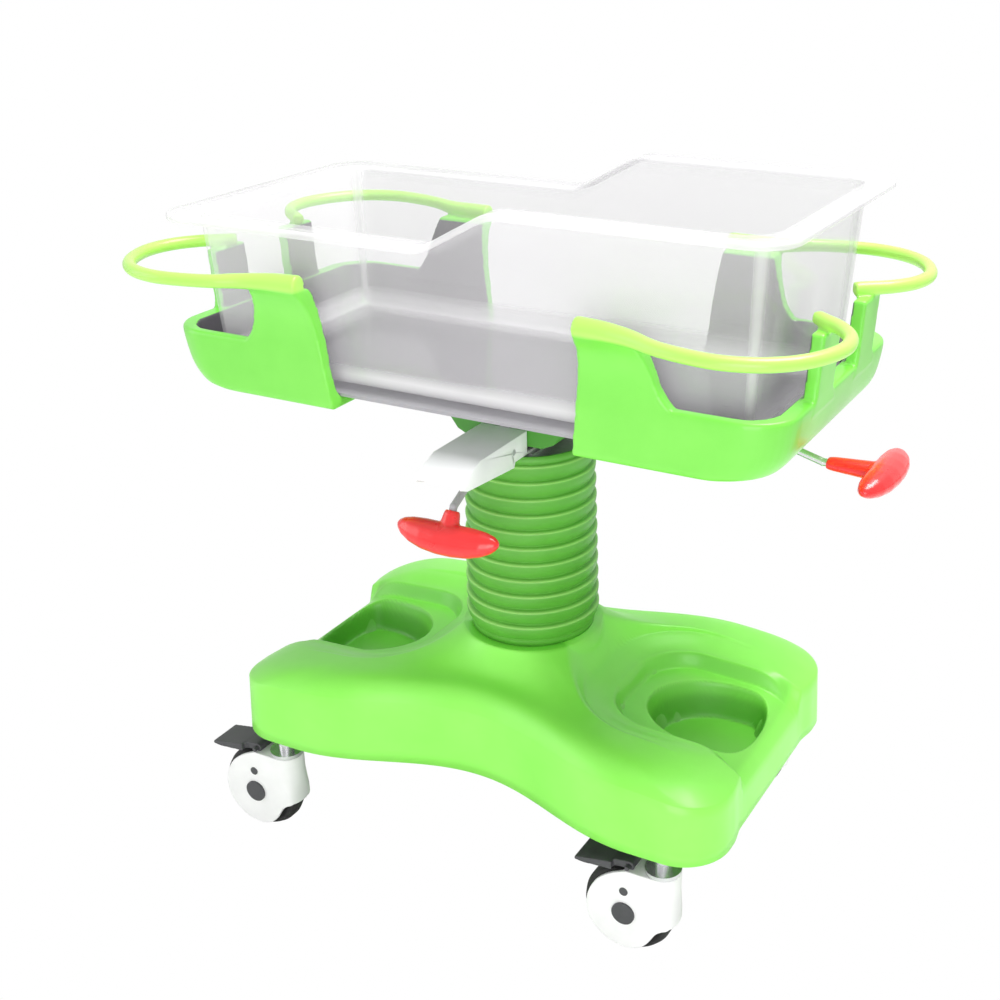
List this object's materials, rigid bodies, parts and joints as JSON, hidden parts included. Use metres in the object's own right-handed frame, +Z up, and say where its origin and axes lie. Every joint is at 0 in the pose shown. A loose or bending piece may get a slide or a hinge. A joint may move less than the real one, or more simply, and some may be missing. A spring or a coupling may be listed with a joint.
{
  "type": "hospital bassinet",
  "caption": "Hospital bassinet with a clear stepped-rim basin on looped tilting trays, a telescopic bellows column, a moulded base and braked casters.",
  "frame": {"origin": "on the floor under the middle of the outer box", "axes": "+X along the basin towards its high end and the tilt handle, +Y across it away from the height lever, +Z up"},
  "size_m": [0.9965, 0.553, 0.9506],
  "materials": {
    "lime_plastic": "satin moulded",
    "green_plastic": "satin moulded",
    "green_rubber": "satin moulded",
    "clear_plastic": "clear, polished",
    "white_plastic": "satin moulded",
    "grey_plastic": "matte",
    "dark_plastic": "matte",
    "black_plastic": "matte",
    "red_plastic": "polished",
    "tyre": "matte",
    "chrome": "polished",
    "zinc": "zinc plated",
    "aluminium": "anodised",
    "grey_paint": "satin powder coat",
    "black_steel": "satin powder coat"
  },
  "bodies": {
    "base": {"base_cover": "lime_plastic", "base_frame": "black_steel", "column_tube": "aluminium", "column_bolts": "zinc", "column_bush": "black_plastic", "lift_cylinder": "black_steel", "bellows": "green_rubber", "bellows_clamp_lower": "zinc", "caster_fl_stem": "chrome", "caster_fr_stem": "chrome", "caster_bl_stem": "chrome", "caster_br_stem": "chrome"},
    "carriage": {"lift_rod": "chrome", "inner_tube": "aluminium", "inner_bush": "black_plastic", "bellows_clamp_upper": "zinc", "column_head": "zinc", "tilt_pin": "zinc", "tilt_disc": "zinc", "lever_bracket": "grey_paint", "bracket_bolts": "zinc", "lever_pin": "zinc"},
    "height_lever": {"height_rod": "grey_paint", "height_handle": "red_plastic"},
    "cradle": {"pivot_housing": "green_plastic", "support_plate": "grey_paint", "cradle_screws": "zinc", "basin_pads": "clear_plastic", "tilt_bracket": "grey_paint", "tilt_lever_pin": "zinc", "tray_left": "lime_plastic", "tray_right": "lime_plastic", "rail_fl": "lime_plastic", "rail_fr": "lime_plastic", "rail_bl": "lime_plastic", "rail_br": "lime_plastic"},
    "tilt_lever": {"tilt_rod": "chrome", "tilt_handle": "red_plastic"},
    "tilt_brake": {"brake_shoe": "black_plastic"},
    "basin": {"basin": "clear_plastic"},
    "caster_fl": {"caster_fl_housing": "white_plastic", "caster_fl_axle": "dark_plastic"},
    "caster_fl_roll": {"caster_fl_wheel": "grey_plastic", "caster_fl_tyre": "tyre"},
    "caster_fl_brake": {"caster_fl_pedal": "dark_plastic"},
    "caster_fr": {"caster_fr_housing": "white_plastic", "caster_fr_axle": "dark_plastic"},
    "caster_fr_roll": {"caster_fr_wheel": "grey_plastic", "caster_fr_tyre": "tyre"},
    "caster_fr_brake": {"caster_fr_pedal": "dark_plastic"},
    "caster_bl": {"caster_bl_housing": "white_plastic", "caster_bl_axle": "dark_plastic"},
    "caster_bl_roll": {"caster_bl_wheel": "grey_plastic", "caster_bl_tyre": "tyre"},
    "caster_bl_brake": {"caster_bl_pedal": "dark_plastic"},
    "caster_br": {"caster_br_housing": "white_plastic", "caster_br_axle": "dark_plastic"},
    "caster_br_roll": {"caster_br_wheel": "grey_plastic", "caster_br_tyre": "tyre"},
    "caster_br_brake": {"caster_br_pedal": "dark_plastic"}
  },
  "joints": [
    {"name": "column_lift", "type": "slide", "parent": "base", "child": "carriage", "axis": [0, 0, 1], "range_m": [-0.08, 0.09], "deforming": ["bellows"]},
    {"name": "cradle_tilt", "type": "hinge", "parent": "carriage", "child": "cradle", "pos_m": [-0.01225, 0, 0.6403], "axis": [0, 1, 0], "range_deg": [-10, 10]},
    {"name": "height_lever", "type": "hinge", "parent": "carriage", "child": "height_lever", "pos_m": [-0.01225, -0.1, 0.6183], "axis": [1, 0, 0], "range_deg": [-8, 0], "stiffness_Nm_per_rad": 3, "springref_deg": 4.58},
    {"name": "tilt_lever", "type": "hinge", "parent": "cradle", "child": "tilt_lever", "pos_m": [0.13775, 0, 0.6488], "axis": [0, 1, 0], "range_deg": [-3, 0], "stiffness_Nm_per_rad": 12, "springref_deg": 4.58},
    {"name": "tilt_brake", "type": "slide", "parent": "cradle", "child": "tilt_brake", "axis": [1, 0, 0], "range_m": [0, 0.00045]},
    {"name": "basin_lift", "type": "slide", "parent": "cradle", "child": "basin", "axis": [0, 0, 1], "range_m": [0, 0.3]},
    {"name": "caster_fl_swivel", "type": "hinge", "parent": "base", "child": "caster_fl", "pos_m": [-0.31125, -0.202, 0.125], "axis": [0, 0, 1], "continuous": true},
    {"name": "caster_fl_spin", "type": "hinge", "parent": "caster_fl", "child": "caster_fl_roll", "pos_m": [-0.35625, -0.202, 0.0625], "axis": [0, 1, 0], "continuous": true},
    {"name": "caster_fl_pedal", "type": "hinge", "parent": "caster_fl", "child": "caster_fl_brake", "pos_m": [-0.35225, -0.202, 0.133], "axis": [0, 1, 0], "range_deg": [-8, 0]},
    {"name": "caster_fr_swivel", "type": "hinge", "parent": "base", "child": "caster_fr", "pos_m": [0.28675, -0.202, 0.125], "axis": [0, 0, 1], "continuous": true},
    {"name": "caster_fr_spin", "type": "hinge", "parent": "caster_fr", "child": "caster_fr_roll", "pos_m": [0.24175, -0.202, 0.0625], "axis": [0, 1, 0], "continuous": true},
    {"name": "caster_fr_pedal", "type": "hinge", "parent": "caster_fr", "child": "caster_fr_brake", "pos_m": [0.24575, -0.202, 0.133], "axis": [0, 1, 0], "range_deg": [-8, 0]},
    {"name": "caster_bl_swivel", "type": "hinge", "parent": "base", "child": "caster_bl", "pos_m": [-0.31125, 0.202, 0.125], "axis": [0, 0, 1], "continuous": true},
    {"name": "caster_bl_spin", "type": "hinge", "parent": "caster_bl", "child": "caster_bl_roll", "pos_m": [-0.35625, 0.202, 0.0625], "axis": [0, 1, 0], "continuous": true},
    {"name": "caster_bl_pedal", "type": "hinge", "parent": "caster_bl", "child": "caster_bl_brake", "pos_m": [-0.35225, 0.202, 0.133], "axis": [0, 1, 0], "range_deg": [-8, 0]},
    {"name": "caster_br_swivel", "type": "hinge", "parent": "base", "child": "caster_br", "pos_m": [0.28675, 0.202, 0.125], "axis": [0, 0, 1], "continuous": true},
    {"name": "caster_br_spin", "type": "hinge", "parent": "caster_br", "child": "caster_br_roll", "pos_m": [0.24175, 0.202, 0.0625], "axis": [0, 1, 0], "continuous": true},
    {"name": "caster_br_pedal", "type": "hinge", "parent": "caster_br", "child": "caster_br_brake", "pos_m": [0.24575, 0.202, 0.133], "axis": [0, 1, 0], "range_deg": [-8, 0]}
  ],
  "couplings": [
    {"joint": "tilt_brake", "follows": "tilt_lever", "m_per_rad": -0.0085}
  ]
}
